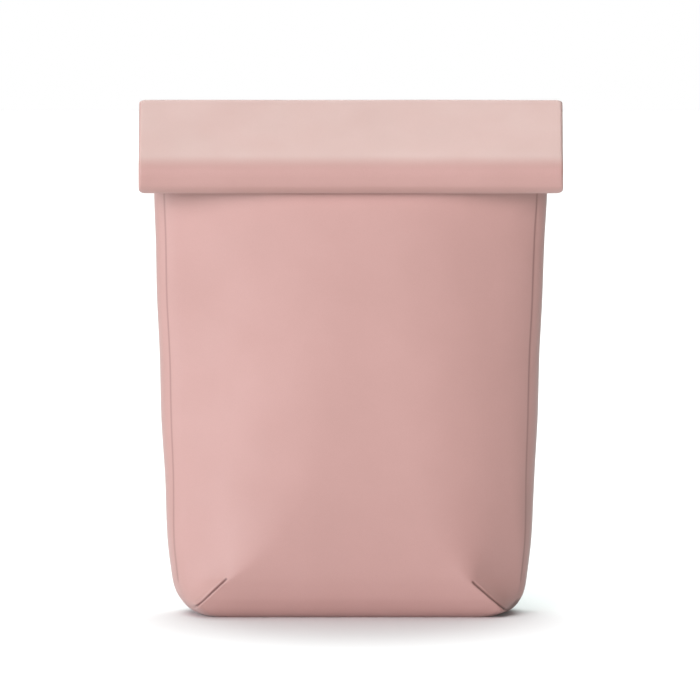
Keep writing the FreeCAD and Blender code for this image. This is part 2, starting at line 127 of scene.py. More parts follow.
def siliconeMaterial(name, finish):
    material = bpy.data.materials.new(name)
    material.use_nodes = True
    nodes, links = material.node_tree.nodes, material.node_tree.links
    shader = nodes["Principled BSDF"]
    place = nodes.new("ShaderNodeTexCoord")

    cloud = nodes.new("ShaderNodeTexNoise")  # uneven pigment, a few centimetres across
    cloud.inputs["Scale"].default_value = finish["cloudSize"]
    cloud.inputs["Detail"].default_value = 3.0
    links.new(place.outputs["Object"], cloud.inputs["Vector"])
    tint = nodes.new("ShaderNodeValToRGB")
    tint.color_ramp.elements[0].position = 0.30
    tint.color_ramp.elements[0].color = (*finish["deepColour"], 1)
    tint.color_ramp.elements[1].position = 0.70
    tint.color_ramp.elements[1].color = (*finish["paleColour"], 1)
    middle = tint.color_ramp.elements.new(0.5)
    middle.color = (*finish["colour"], 1)
    links.new(cloud.outputs["Fac"], tint.inputs["Fac"])

    speck = nodes.new("ShaderNodeTexNoise")  # fine specks in the rubber
    speck.inputs["Scale"].default_value = finish["speckSize"]
    speck.inputs["Detail"].default_value = 2.0
    links.new(place.outputs["Object"], speck.inputs["Vector"])
    speckRange = nodes.new("ShaderNodeMapRange")
    speckRange.inputs["From Min"].default_value = 0.35
    speckRange.inputs["From Max"].default_value = 0.65
    speckRange.inputs["To Min"].default_value, speckRange.inputs["To Max"].default_value = finish["speck"]
    links.new(speck.outputs["Fac"], speckRange.inputs["Value"])
    colour = nodes.new("ShaderNodeVectorMath")
    colour.operation = "SCALE"
    links.new(tint.outputs["Color"], colour.inputs[0])
    links.new(speckRange.outputs["Result"], colour.inputs["Scale"])
    shaded = colour.outputs["Vector"]
    for line in ("dart", "seam", "under"):  # painted shade: the colour is darkened deep in the darts, along the welded seams and under a corner, where shadow falls
        near = nodes.new("ShaderNodeAttribute")
        near.attribute_name = line + "Near"
        shadeAmount = nodes.new("ShaderNodeMapRange")
        shadeAmount.interpolation_type = "SMOOTHSTEP"
        shadeAmount.inputs["From Min"].default_value = 1 - finish[line + "Width"] / lineReach
        shadeAmount.inputs["From Max"].default_value = 1.0
        shadeAmount.inputs["To Max"].default_value = finish[line + "Shade"]
        links.new(near.outputs["Fac"], shadeAmount.inputs["Value"])
        darker = nodes.new("ShaderNodeMix")
        darker.data_type = "RGBA"
        darker.inputs["B"].default_value = (*finish["paintedShadeColour"], 1)
        links.new(shadeAmount.outputs["Result"], darker.inputs["Factor"])
        links.new(shaded, darker.inputs["A"])
        shaded = darker.outputs["Result"]
    links.new(shaded, shader.inputs["Base Color"])

    wear = nodes.new("ShaderNodeTexNoise")  # patches a little smoother from handling
    wear.inputs["Scale"].default_value = finish["wearSize"]
    wear.inputs["Detail"].default_value = 5.0
    links.new(place.outputs["Object"], wear.inputs["Vector"])
    wearRange = nodes.new("ShaderNodeMapRange")
    wearRange.inputs["From Min"].default_value = 0.3
    wearRange.inputs["From Max"].default_value = 0.7
    wearRange.inputs["To Min"].default_value = finish["roughness"] + finish["wear"][0]
    wearRange.inputs["To Max"].default_value = finish["roughness"] + finish["wear"][1]
    links.new(wear.outputs["Fac"], wearRange.inputs["Value"])
    links.new(wearRange.outputs["Result"], shader.inputs["Roughness"])

    grain = nodes.new("ShaderNodeTexNoise")  # the matt grain of the mould
    grain.inputs["Scale"].default_value = finish["grainSize"]
    grain.inputs["Detail"].default_value = 3.0
    links.new(place.outputs["Object"], grain.inputs["Vector"])
    grainBump = nodes.new("ShaderNodeBump")
    grainBump.inputs["Strength"].default_value = 0.35
    grainBump.inputs["Distance"].default_value = finish["grainDepth"]
    links.new(grain.outputs["Fac"], grainBump.inputs["Height"])
    soft = nodes.new("ShaderNodeTexNoise")  # long soft unevenness of the sheet
    soft.inputs["Scale"].default_value = finish["softSize"]
    soft.inputs["Detail"].default_value = 1.0
    links.new(place.outputs["Object"], soft.inputs["Vector"])
    softBump = nodes.new("ShaderNodeBump")
    softBump.inputs["Strength"].default_value = 0.12
    softBump.inputs["Distance"].default_value = finish["softDepth"]
    links.new(soft.outputs["Fac"], softBump.inputs["Height"])
    links.new(grainBump.outputs["Normal"], softBump.inputs["Normal"])
    links.new(softBump.outputs["Normal"], shader.inputs["Normal"])

    shader.inputs["Specular IOR Level"].default_value = finish["specular"]
    shader.inputs["Sheen Weight"].default_value = finish["sheen"]
    shader.inputs["Sheen Roughness"].default_value = finish["sheenRoughness"]
    return material


silicone = siliconeMaterial("siliconePink", siliconePink)

boardPlastic = {
    "colour": (0.44, 0.30, 0.28), "deepColour": (0.39, 0.26, 0.24), "metallic": 0.0, "roughness": 0.55,
    "cloudSize": 40.0, "scratchSize": (900.0, 30.0, 30.0), "scratchDepth": 0.00004,
}
nickelPlate = {
    "colour": (0.66, 0.64, 0.60), "deepColour": (0.50, 0.48, 0.45), "metallic": 1.0, "roughness": 0.28,
    "cloudSize": 160.0, "scratchSize": (60.0, 1400.0, 60.0), "scratchDepth": 0.00002,
}


# Pieces inside the sheets: moulded board and plated metal, clouded, with fine marks along one way
def insideMaterial(name, finish):
    material = bpy.data.materials.new(name)
    material.use_nodes = True
    nodes, links = material.node_tree.nodes, material.node_tree.links
    shader = nodes["Principled BSDF"]
    shader.inputs["Metallic"].default_value = finish["metallic"]
    place = nodes.new("ShaderNodeTexCoord")
    cloud = nodes.new("ShaderNodeTexNoise")
    cloud.inputs["Scale"].default_value = finish["cloudSize"]
    cloud.inputs["Detail"].default_value = 4.0
    links.new(place.outputs["Object"], cloud.inputs["Vector"])
    tint = nodes.new("ShaderNodeValToRGB")
    tint.color_ramp.elements[0].position = 0.35
    tint.color_ramp.elements[0].color = (*finish["deepColour"], 1)
    tint.color_ramp.elements[1].position = 0.65
    tint.color_ramp.elements[1].color = (*finish["colour"], 1)
    links.new(cloud.outputs["Fac"], tint.inputs["Fac"])
    links.new(tint.outputs["Color"], shader.inputs["Base Color"])
    stretched = nodes.new("ShaderNodeMapping")
    stretched.inputs["Scale"].default_value = finish["scratchSize"]
    links.new(place.outputs["Object"], stretched.inputs["Vector"])
    scratch = nodes.new("ShaderNodeTexNoise")
    scratch.inputs["Scale"].default_value = 1.0
    scratch.inputs["Detail"].default_value = 2.0
    links.new(stretched.outputs["Vector"], scratch.inputs["Vector"])
    gloss = nodes.new("ShaderNodeMapRange")
    gloss.inputs["From Min"].default_value = 0.3
    gloss.inputs["From Max"].default_value = 0.7
    gloss.inputs["To Min"].default_value = finish["roughness"] - 0.06
    gloss.inputs["To Max"].default_value = finish["roughness"] + 0.1
    links.new(scratch.outputs["Fac"], gloss.inputs["Value"])
    links.new(gloss.outputs["Result"], shader.inputs["Roughness"])
    marks = nodes.new("ShaderNodeBump")
    marks.inputs["Strength"].default_value = 0.3
    marks.inputs["Distance"].default_value = finish["scratchDepth"]
    links.new(scratch.outputs["Fac"], marks.inputs["Height"])
    links.new(marks.outputs["Normal"], shader.inputs["Normal"])
    return material

# ---- the pouch
pouch = {
    "height": [0, 1.5, 4, 7.5, 12, 18, 24, 45, 80, 114, 150, 184, 219, 240, 250, 268.4, 292.0],
    "halfWidth": [87.8, 91.8, 95.9, 98.9, 101.6, 103.4, 104.3, 106.7, 108.2, 110.1, 111.1, 112.7, 113.6, 114.7, 115.2,
                  116.3, 123.25],
    "lap": [3.2, 3.2, 3.2, 3.2, 3.3, 3.4, 3.5, 4, 5.1, 5.9, 6.1, 6.1, 6.1, 6.1, 6.1, 6, 5.5],
    "front": [-26.5, -29.2, -31.4, -33.2, -34.7, -35.5, -35.9, -35.3, -33.9, -32.3, -30.5, -28.7, -26.6, -25.1,
              -22.9, -22, 12.3],
    "back": [25.5, 28.8, 31.4, 33, 34.3, 35.2, 35.8, 36, 35.3, 34, 32, 29.4, 26.4, 24.6, 23.9, 22.3, 21.5],
    "sideFront": [-12, -11, -10, -11, -12.3, -13, -13.4, -14, -13.6, -13, -12.2, -11.2, -10.5, -10, -9.4, -8, 15.4],
    "sideBack": [9, 9.5, 10, 11, 12.3, 13, 13.4, 14, 13.6, 13, 12.2, 11.2, 10.5, 10, 9.7, 9, 18.2],
    "creaseLeft": [80, 84, 87, 89, 84.5, 78.3, 71.5, 58, 50, 44, 40, 36, 36, 42, 54, 80, 117],
    "creaseRight": [80, 84, 89, 86.9, 82.1, 75.8, 70.2, 67.5, 64.5, 61.3, 57.4, 54, 53, 56, 64, 80, 117],
    "creaseBack": [80, 84, 87, 88.5, 84.2, 78.3, 72.5, 68.5, 63, 57, 51, 46, 44, 48, 60, 80, 117],
    "creaseRound": [8, 6, 4.5, 3, 3, 3.5, 5, 18, 28, 34, 34, 32, 30, 32, 28, 22, 3],
    "sideRound": [8, 8.5, 9, 9.5, 10.5, 11.5, 12, 13, 14.5, 15, 15, 15, 14, 13, 12, 8, 1.3],
    "sideRoundRight": [5, 5, 5, 5, 5.5, 6.5, 7.5, 11, 17, 23, 27, 28, 27, 24, 20, 12, 1.3],
    "sheet": 1.4, "leftward": 0.8, "middleColumns": 28, "dartColumns": 66, "dartFrom": 0.6, "sideColumns": 12,
}
rowHeights = np.concatenate([
    np.linspace(0, 3, 5), np.linspace(3.5, 27, 54), np.linspace(28, 60, 22), np.linspace(64, 236, 44),
    np.linspace(238, 266, 15), [268.4], np.linspace(270.5, 292, 9)])
levelNow = {name: smoothTable(pouch["height"], pouch[name], rowHeights)
            for name in ("halfWidth", "lap", "front", "back", "sideFront", "sideBack", "creaseLeft", "creaseRight",
                         "creaseBack", "creaseRound", "sideRound", "sideRoundRight")}
# The shoulder is a straight slope, not a curve of the table
shoulder, throat = pouch["height"][-2:]
sloped = rowHeights >= shoulder
for name in ("front", "sideFront", "sideBack"):
    levelNow[name][sloped] = np.interp(rowHeights[sloped], [shoulder, throat], pouch[name][-2:])


# The outline of one level, corners rounded, as points with even steps between the seams
def levelOutline(row):
    now = {name: values[row] for name, values in levelNow.items()}
    wide = now["halfWidth"]
    corners = [
        (-now["creaseLeft"], now["front"], now["creaseRound"]),
        (now["creaseRight"], now["front"], now["creaseRound"]),
        (wide, now["sideFront"], now["sideRoundRight"]), (wide, now["sideBack"], now["sideRoundRight"]),
        (now["creaseBack"], now["back"], now["creaseRound"]),
        (-now["creaseBack"], now["back"], now["creaseRound"]),
        (-wide, now["sideBack"], now["sideRound"]), (-wide, now["sideFront"], now["sideRound"]),
    ]
    places = np.array([corner[:2] for corner in corners])
    rounds = np.array([corner[2] for corner in corners])
    line = []
    for index in range(8):
        here, before, after = places[index], places[index - 1], places[(index + 1) % 8]
        toBefore, toAfter = before - here, after - here
        lengthBefore, lengthAfter = np.linalg.norm(toBefore), np.linalg.norm(toAfter)
        reachBefore = min(rounds[index], lengthBefore * 0.48)
        reachAfter = min(rounds[index], lengthAfter * 0.48)
        start = here + toBefore / lengthBefore * reachBefore
        end = here + toAfter / lengthAfter * reachAfter
        for t in np.linspace(0, 1, 14):
            line.append(start * (1 - t) ** 2 + 2 * here * t * (1 - t) + end * t * t)
    line = np.array(line + [line[0]])
    # begin at the middle of the front
    for first in range(len(line) - 1):
        if line[first][0] < 0 <= line[first + 1][0] and line[first][1] < now["sideFront"]:
            break
    share = -line[first][0] / (line[first + 1][0] - line[first][0])
    middle = line[first] + share * (line[first + 1] - line[first])
    line = np.vstack([[middle], line[first + 1:-1], line[:first + 1], [middle]])
    reach = np.concatenate([[0], np.cumsum(np.linalg.norm(np.diff(line, axis=0), axis=1))])
    seam = wide - now["lap"]
    marks = [0.0]
    x, y = line[:, 0], line[:, 1]
    middleY = (now["sideFront"] + now["sideBack"]) / 2

    def crossing(values, level, low, high):
        for step in range(len(values) - 1):
            if low < reach[step + 1] <= high and (values[step] - level) * (values[step + 1] - level) <= 0:
                share = (level - values[step]) / ((values[step + 1] - values[step]) or 1.0)
                return reach[step] + share * (reach[step + 1] - reach[step])
        raise ValueError((row, level))

    total = reach[-1]
    marks.append(crossing(x, seam, 0, total))
    marks.append(crossing(y, middleY, marks[-1], total))
    marks.append(crossing(x, seam, marks[-1], total))
    marks.append(crossing(x, 0.0, marks[-1], total))
    marks.append(crossing(x, -seam, marks[-1], total))
    marks.append(crossing(y, middleY, marks[-1], total))
    marks.append(crossing(x, -seam, marks[-1], total))
    marks.append(total)
    toSeam = np.concatenate([
        np.linspace(0, pouch["dartFrom"], pouch["middleColumns"], endpoint=False),
        np.linspace(pouch["dartFrom"], 1, pouch["dartColumns"], endpoint=False)])
    fromSeam = 1 - np.append(toSeam[1:], 1)[::-1]
    even = np.linspace(0, 1, pouch["sideColumns"], endpoint=False)
    shares = [toSeam, even, even, fromSeam] * 2
    spots = np.concatenate([marks[i] + (marks[i + 1] - marks[i]) * shares[i] for i in range(8)])
    return np.column_stack([np.interp(spots, reach, x), np.interp(spots, reach, y)])


faceColumns = pouch["middleColumns"] + pouch["dartColumns"]
columns = 4 * (faceColumns + pouch["sideColumns"])
clearSelection()
bpy.ops.mesh.primitive_circle_add(vertices=columns, radius=0.1, fill_type="NOTHING", location=(0, 0, 0))
shell = bpy.context.object
shell.name = "pouchShell"
bpy.ops.object.mode_set(mode="EDIT")
bpy.ops.mesh.select_all(action="SELECT")
for below, above in zip(rowHeights[:-1], rowHeights[1:]):
    bpy.ops.mesh.extrude_region_move(TRANSFORM_OT_translate={"value": (0, 0, (above - below) * mm)})
bpy.ops.object.mode_set(mode="OBJECT")
points = readPoints(shell)
angles = np.arctan2(points[:, 1], points[:, 0])
rowOf = np.argmin(abs(points[:, 2:3] / mm - rowHeights[None, :]), axis=1)
columnOf = np.round((angles + math.pi / 2) / (2 * math.pi) * columns).astype(int) % columns
outlines = np.array([levelOutline(row) for row in range(len(rowHeights))])
shaped = outlines[rowOf, columnOf]
pastSeam = abs(shaped[:, 0]) - (levelNow["halfWidth"] - levelNow["lap"])[rowOf]

# The sheet's own unevenness: slow swells, the gusset a little below the faces at the seams, and at each
# bottom corner a dart that is pinched and welded from inside
surface = {
    "swell": 0.45, "swellSize": 62.0, "ripple": 0.10, "rippleSize": 21.0, "calmFoot": (2, 14), "calmNeck": (258, 281),
    "seamStep": 0.35, "seamFade": 4.0,
    "darts": {-1: ((72.7, 23.3), (90.1, 6.8)), 1: ((71.0, 21.5), (89.8, 5.2))},
    "grooveDepth": 0.95, "grooveWidth": 0.5, "tipFade": (-0.6, 2.5), "endFade": (0, 3),
    "lipHeights": {-1: 0.16, 1: 0.03}, "lipOut": 1.3, "lipWidth": 0.7,
    # underLine: along it the material paints shade under the right bottom corner
    "underLine": ((87.0, 0.2), (99.0, 8.0)),
}


# The pouch hangs a little to the left under its roll
level = points[:, 2] / mm
leftward = pouch["leftward"] * easeBetween(0, 22, level) * (1 - easeBetween(180, 265, level))
points[:, 0], points[:, 1] = (shaped[:, 0] - leftward) * mm, shaped[:, 1] * mm
writePoints(shell, points)
normals = readNormals(shell)
if (normals[:, :2] * points[:, :2]).sum() < 0:
    shell.data.flip_normals()
    normals = -normals
at = points / mm
raised = surface["swell"] * wander(at, surface["swellSize"], 3.0)
raised += surface["ripple"] * wander(at, surface["rippleSize"], 7.0)
raised *= easeBetween(*surface["calmFoot"], at[:, 2]) * (1 - easeBetween(*surface["calmNeck"], at[:, 2]))
# dartNear and underNear place the painted shade in the darts and under the right bottom corner
dartNear = np.zeros(len(at))
underStart, underEnd = (np.array(place) for place in surface["underLine"])
underRun = (underEnd - underStart) / np.linalg.norm(underEnd - underStart)
fromStart = at[:, [0, 2]] - underStart
along = np.clip(fromStart @ underRun, 0, np.linalg.norm(underEnd - underStart))
underNear = np.clip(1 - np.linalg.norm(fromStart - along[:, None] * underRun, axis=1) / lineReach, 0, 1)
for side, dart in surface["darts"].items():
    tip, end = (np.array([side * out, up]) for out, up in dart)
    length = np.linalg.norm(end - tip)
    run = (end - tip) / length
    fromTip = at[:, [0, 2]] - tip
    along = fromTip @ run
    across = abs(fromTip[:, 0] * run[1] - fromTip[:, 1] * run[0])
    inFront = at[:, 1] < 0
    within = easeBetween(*surface["tipFade"], along) * inFront
    within *= 1 - easeBetween(*surface["endFade"], along - length)
    beyond = np.maximum(0, abs(along - length / 2) - length / 2)
    dartNear = np.maximum(dartNear, inFront * np.clip(1 - np.hypot(across, beyond) / lineReach, 0, 1))
    groove = -surface["grooveDepth"] * np.exp(-(across / surface["grooveWidth"]) ** 2)
    lips = surface["lipHeights"][side] * np.exp(-((across - surface["lipOut"]) / surface["lipWidth"]) ** 2)
    raised += within * (groove + lips)
basePoints, baseNormals = points.copy(), normals.copy()
writePoints(shell, points + normals * raised[:, None] * mm)
# seamNear places the painted shade along the seams; these attributes carry the painted shade to the material
seamNear = np.clip(1 - abs(pastSeam) / lineReach, 0, 1) * easeBetween(4, 22, at[:, 2])
onShell = {"dartNear": dartNear, "seamNear": seamNear, "underNear": underNear, "pastSeam": pastSeam}
for name, values in onShell.items():
    shell.data.attributes.new(name, "FLOAT", "POINT").data.foreach_set("value", values)
print("stage: pouch shell", len(points), "points")

seamColumns = [faceColumns, faceColumns + 2 * pouch["sideColumns"]]
seamColumns += [columns - seamColumns[1], columns - seamColumns[0]]


def panelOf(column):
    column %= columns
    if column < seamColumns[0] or column >= seamColumns[3]:
        return "pouchFront"
    if column < seamColumns[1]:
        return "gussetRight"
    if column < seamColumns[2]:
        return "pouchBack"
    return "gussetLeft"


# Cut the shell along its seams into panels
def takePanel(name):
    piece = shell.copy()
    piece.data = shell.data.copy()
    piece.name = name
    bpy.context.collection.objects.link(piece)
    build = bmesh.new()
    build.from_mesh(piece.data)
    build.faces.ensure_lookup_table()
    drop = []
    for face in build.faces:
        around = [columnOf[vertex.index] for vertex in face.verts]
        first = min(around)
        if max(around) - first > 2:
            first = columns - 1
        if panelOf(first) != name:
            drop.append(face)
    bmesh.ops.delete(build, geom=drop, context="FACES")
    build.to_mesh(piece.data)
    build.free()
    if name.startswith("gusset"):
        points = readPoints(piece)
        inset = np.empty(len(points))
        piece.data.attributes["pastSeam"].data.foreach_get("value", inset)
        sunk = surface["seamStep"] * (1 - easeBetween(0, surface["seamFade"], inset))
        writePoints(piece, points - readNormals(piece) * sunk[:, None] * mm)
    piece.data.attributes.remove(piece.data.attributes["pastSeam"])
    piece.data.materials.clear()
    piece.data.materials.append(silicone)
    return piece


def thicken(piece, thickness, seamEdge=0.35):
    makeActive(piece)
    solid = piece.modifiers.new("sheet", "SOLIDIFY")
    solid.thickness = thickness
    solid.offset = -1
    solid.use_even_offset = False
    if seamEdge:
        edge = piece.modifiers.new("seamEdge", "BEVEL")
        edge.width = seamEdge * mm
        edge.segments = 2
        edge.limit_method = "ANGLE"
        edge.angle_limit = math.radians(60)
    applyAll(piece)
    bpy.ops.object.shade_smooth_by_angle(angle=math.radians(50))


panels = {name: takePanel(name) for name in ("pouchFront", "gussetRight", "pouchBack", "gussetLeft")}
for panel in panels.values():
    thicken(panel, pouch["sheet"] * mm)
bpy.data.objects.remove(shell)

# The tape behind each dart, laid on the inside of the sheet
tape = {
    "width": 8.0, "thickness": 0.8, "from": 1.5, "short": 2.5, "behind": 2.5, "edge": 0.15,
    "alongSteps": 30, "acrossSteps": 9, "outside": 0.055, "under": 0.035, "neighbours": 6, "blur": 0.0002,
}
dartTapes = {}
for side, name in ((-1, "dartTapeLeft"), (1, "dartTapeRight")):
    clearSelection()
    bpy.ops.mesh.primitive_grid_add(x_subdivisions=tape["alongSteps"], y_subdivisions=tape["acrossSteps"], size=2)
    piece = bpy.context.object
    piece.name = name
    flat = readPoints(piece)
    tip, end = (np.array([side * out, up]) for out, up in surface["darts"][side])
    length = np.linalg.norm(end - tip)
    run = (end - tip) / length
    crosswise = np.array([-run[1], run[0]])
    along = tape["from"] + (flat[:, 0] + 1) / 2 * (length - tape["short"] - tape["from"])
    spots = tip + along[:, None] * run + flat[:, 1:2] * tape["width"] / 2 * crosswise
    inCorner = (basePoints[:, 0] * side > tape["outside"]) & (basePoints[:, 2] < tape["under"])
    near = np.flatnonzero(inCorner & (basePoints[:, 1] < 0))
    away = np.linalg.norm(spots[:, None] * mm - basePoints[near][None][:, :, [0, 2]], axis=2)
    closest = np.argsort(away, axis=1)[:, :tape["neighbours"]]
    weights = 1 / (np.take_along_axis(away, closest, 1) + tape["blur"])
    weights /= weights.sum(axis=1, keepdims=True)
    onSheet = (basePoints[near][closest] * weights[:, :, None]).sum(axis=1)
    outward = (baseNormals[near][closest] * weights[:, :, None]).sum(axis=1)
    outward /= np.linalg.norm(outward, axis=1, keepdims=True)
    writePoints(piece, onSheet - outward * tape["behind"] * mm)
    if (readNormals(piece) * outward).sum() < 0:
        piece.data.flip_normals()
    piece.data.materials.append(silicone)
    thicken(piece, tape["thickness"] * mm, tape["edge"])
    dartTapes[name] = piece

base = {"rings": [1.0, 0.985, 0.95, 0.85, 0.65, 0.4, 0.15], "rise": 0.6}
clearSelection()
bpy.ops.mesh.primitive_circle_add(vertices=columns, radius=0.1, fill_type="NOTHING", location=(0, 0, 0))
basePanel = bpy.context.object
basePanel.name = "basePanel"
bpy.ops.object.mode_set(mode="EDIT")
bpy.ops.mesh.select_all(action="SELECT")
for share in base["rings"][1:]:
    bpy.ops.mesh.extrude_region_move(TRANSFORM_OT_translate={"value": (0, 0, 0.001)})
bpy.ops.mesh.edge_face_add()
bpy.ops.mesh.poke()
bpy.ops.object.mode_set(mode="OBJECT")
points = readPoints(basePanel)
angles = np.arctan2(points[:, 1], points[:, 0])
ringOf = np.clip(np.round(points[:, 2] / mm).astype(int), 0, len(base["rings"]) - 1)
columnOf = np.round((angles + math.pi / 2) / (2 * math.pi) * columns).astype(int) % columns
share = np.array(base["rings"])[ringOf]
share[np.hypot(points[:, 0], points[:, 1]) < 1e-5] = 0
foot = outlines[0][columnOf]
points[:, 0] = foot[:, 0] * share * mm
points[:, 1] = foot[:, 1] * share * mm
points[:, 2] = base["rise"] * np.clip((1 - share) * 4, 0, 1) * mm
writePoints(basePanel, points)
makeActive(basePanel)
bpy.ops.object.mode_set(mode="EDIT")
bpy.ops.mesh.select_all(action="SELECT")
bpy.ops.mesh.normals_make_consistent(inside=False)
bpy.ops.object.mode_set(mode="OBJECT")
if sum(face.normal.z for face in basePanel.data.polygons) > 0:
    basePanel.data.flip_normals()
basePanel.data.materials.append(silicone)
thicken(basePanel, pouch["sheet"] * mm, 0)
print("stage: pouch panels")

# ---- the folded mouth
roll = {
    "ridge": (17.5, 296.0), "brow": (-28.0, 262.302), "hem": (-28.5, 252.5), "innerHem": (-30.0, 252.5),
    "browSoft": (-20.0, 258.091), "neck": (12.143, 292.318), "slope": 34.5,
    "ridgeRadius": 4.0, "browRadius": 14.0, "hemRadius": 5.5, "innerRadius": 0.4, "browInside": 2.4,
    "neckSetback": 6.5,
    "halfWidth": 123.25, "sheet": 1.4, "backFace": 21.5, "bandFace": -34.0, "bandInside": -30.4, "bandMiddle": 257.5,
    "lipFace": -23.0, "lipInside": -29.6, "lipTop": 263.0, "throat": 292.0, "top": 300.0, "bottom": 247.0,
    "acrossSteps": 84, "innerSteps": 61, "endSteps": 10, "endRound": 1.8, "lap": 5.5,
    "ridgeSpread": 0.25, "neckSpan": 0.4, "browSpan": ((-30, 268.5), (-30, 258)),
    "hemSpan": ((-30.35, 250), (-29.65, 250)),
}
# The unevenness that the rolled sheets share. A pair says where an effect starts and where it is full
drape = {
    "wave": 0.2, "waveSize": 70.0, "stretch": (1, 0.6, 0.6),
    "calm": 0.85, "calmDepth": (-31, -27), "calmTop": (261, 265),
    "bulge": 1.8, "bulgeRise": 261.0, "bulgeReach": 8.0, "bulgeDepth": (-17.0, -34.0),
    "tuck": 3.3, "tuckFrom": 259.5, "tuckDepth": (-24.0, -31.5), "lift": 0.6, "liftHeight": (254, 248),
    "flare": 0.7, "flareWidth": (60, 123), "flareDepth": (-34, 18), "cornerRound": 2.2, "cornerWidth": (112, 122),
}
slopeTurn = math.radians(roll["slope"])
downFlap = np.array([-math.cos(slopeTurn), -math.sin(slopeTurn)])
offFlap = np.array([-math.sin(slopeTurn), math.cos(slopeTurn)])
foldTurn = 90 + roll["slope"]
flapLength = float(np.dot(np.array(roll["brow"]) - np.array(roll["ridge"]), downFlap))
bandTop, bandLow = roll["browSoft"][1], roll["hem"][1]


def arcPoint(centre, radius, turn):
    return np.array(centre) + radius * np.array([math.cos(math.radians(turn)), math.sin(math.radians(turn))])


def flapPoint(reach, offset):
    return np.array(roll["ridge"]) + downFlap * reach + offFlap * offset


# Stations of the tube: its outer face and its inner face, in the plane across the folds
def flapStation(reach):
    return flapPoint(reach, roll["ridgeRadius"]), flapPoint(reach, roll["innerRadius"])


ridgeStations, browStations, hemStations = [], [], []
for height in np.linspace(roll["throat"], roll["ridge"][1], 4)[:-1]:
    ridgeStations.append((np.array([roll["backFace"], height]), np.array([roll["backFace"] - 2, height])))
for turn in np.linspace(0, foldTurn, 17)[:-1]:
    inside = 2.0 + (roll["innerRadius"] - 2.0) * turn / foldTurn
    ridgeStations.append((arcPoint(roll["ridge"], roll["ridgeRadius"], turn), arcPoint(roll["ridge"], inside, turn)))
for reach in np.linspace(0, flapLength / 2, 14):
    ridgeStations.append(flapStation(reach))
browReach = float(np.dot(np.array(roll["browSoft"]) - np.array(roll["ridge"]), downFlap))
for reach in np.linspace(flapLength / 2, browReach, 14)[:-1]:
    browStations.append(flapStation(reach))
for turn in np.linspace(foldTurn, 180, 11)[:-1]:
    browStations.append((arcPoint(roll["browSoft"], roll["browRadius"], turn),
                         arcPoint(roll["brow"], roll["browInside"], turn)))
for height in (bandTop, roll["bandMiddle"]):
    browStations.append((np.array([roll["bandFace"], height]), np.array([roll["bandInside"], height])))
for height in np.linspace(roll["bandMiddle"], bandLow, 5)[:-1]:
    hemStations.append((np.array([roll["bandFace"], height]), np.array([roll["bandInside"], height])))
hemTurns = [np.linspace(180, 225, 6)[:-1], np.linspace(225, 264, 24)[:-1], np.linspace(264, 360, 12)[:-1]]
for turn in np.concatenate(hemTurns):
    hemStations.append((arcPoint(roll["hem"], roll["hemRadius"], turn),
                        arcPoint(roll["innerHem"], roll["innerRadius"], turn)))
for height in np.linspace(bandLow, roll["lipTop"], 8):
    hemStations.append((np.array([roll["lipFace"], height]), np.array([roll["lipInside"], height])))


# Moves the points of a rolled sheet, so that all of them keep their distance. Only the outer face is tucked in
def waveOver(places, inner=1.0):
    at = places / mm
    x, y, z = at.T
    fade = easeBetween(roll["throat"], roll["throat"] + 4, z + np.clip(20 - y, 0, 9))
    fade *= 1 - drape["calm"] * easeBetween(*drape["calmDepth"], y) * (1 - easeBetween(*drape["calmTop"], z))
    stretched = at * drape["stretch"]
    moved = np.column_stack([
        np.zeros(len(at)), wander(stretched, drape["waveSize"], 11.0), wander(stretched, drape["waveSize"], 5.0)])
    moved *= (drape["wave"] * fade)[:, None]
    bulge = np.exp(-((z - drape["bulgeRise"]) / drape["bulgeReach"]) ** 2) * easeBetween(*drape["bulgeDepth"], y)
    tuckIn = np.clip((drape["tuckFrom"] - z) / (drape["tuckFrom"] - roll["bottom"]), 0, 1) ** 2
    tuckIn *= easeBetween(*drape["tuckDepth"], y) * (1 - inner)
    moved[:, 1] += drape["tuck"] * tuckIn - drape["bulge"] * bulge
    moved[:, 2] += drape["lift"] * easeBetween(*drape["liftHeight"], z)
    outwards = drape["flare"] * easeBetween(*drape["flareWidth"], abs(x)) * easeBetween(*drape["flareDepth"], y)
    cornerRound = drape["cornerRound"]
    atRidge = np.clip((z - (roll["top"] - cornerRound)) / cornerRound, 0, 1)
    atHem = np.clip((roll["bottom"] + cornerRound - z) / cornerRound, 0, 1)
    inset = cornerRound * (2 - np.sqrt(1 - atRidge ** 2) - np.sqrt(1 - atHem ** 2))
    moved[:, 0] = np.sign(x) * (outwards - inset * easeBetween(*drape["cornerWidth"], abs(x)))
    return places + moved * mm


# Across the tube: the outer face with its ends rolled over, and the laps that reach back in
def acrossTube():
    half, endRound, lap = roll["halfWidth"], roll["endRound"], roll["lap"]
    row = [(x, 0.0) for x in np.linspace(0, half - 12, roll["acrossSteps"] // 2)]
    row += [(x, 0.0) for x in np.linspace(half - 12, half - endRound, 9)[1:]]
    for turn in np.linspace(90, -90, roll["endSteps"] + 1)[1:]:
        turn = math.radians(turn)
        row.append((half - endRound + endRound * math.cos(turn), 0.5 - 0.5 * math.sin(turn)))
    row += [((half - endRound + half - lap) / 2, 1.0), (half - lap, 1.0)]
    return [(-x, share) for x, share in reversed(row[1:])] + row


def sheetGrid(name, acrossCount, alongCount):
    clearSelection()
    bpy.ops.mesh.primitive_grid_add(x_subdivisions=acrossCount - 1, y_subdivisions=alongCount - 1, size=2)
    piece = bpy.context.object
    piece.name = name
    points = readPoints(piece)
    column = np.round((points[:, 0] + 1) / 2 * (acrossCount - 1)).astype(int)
    row = np.round((points[:, 1] + 1) / 2 * (alongCount - 1)).astype(int)
    piece.data.materials.append(silicone)
    return piece, column, row


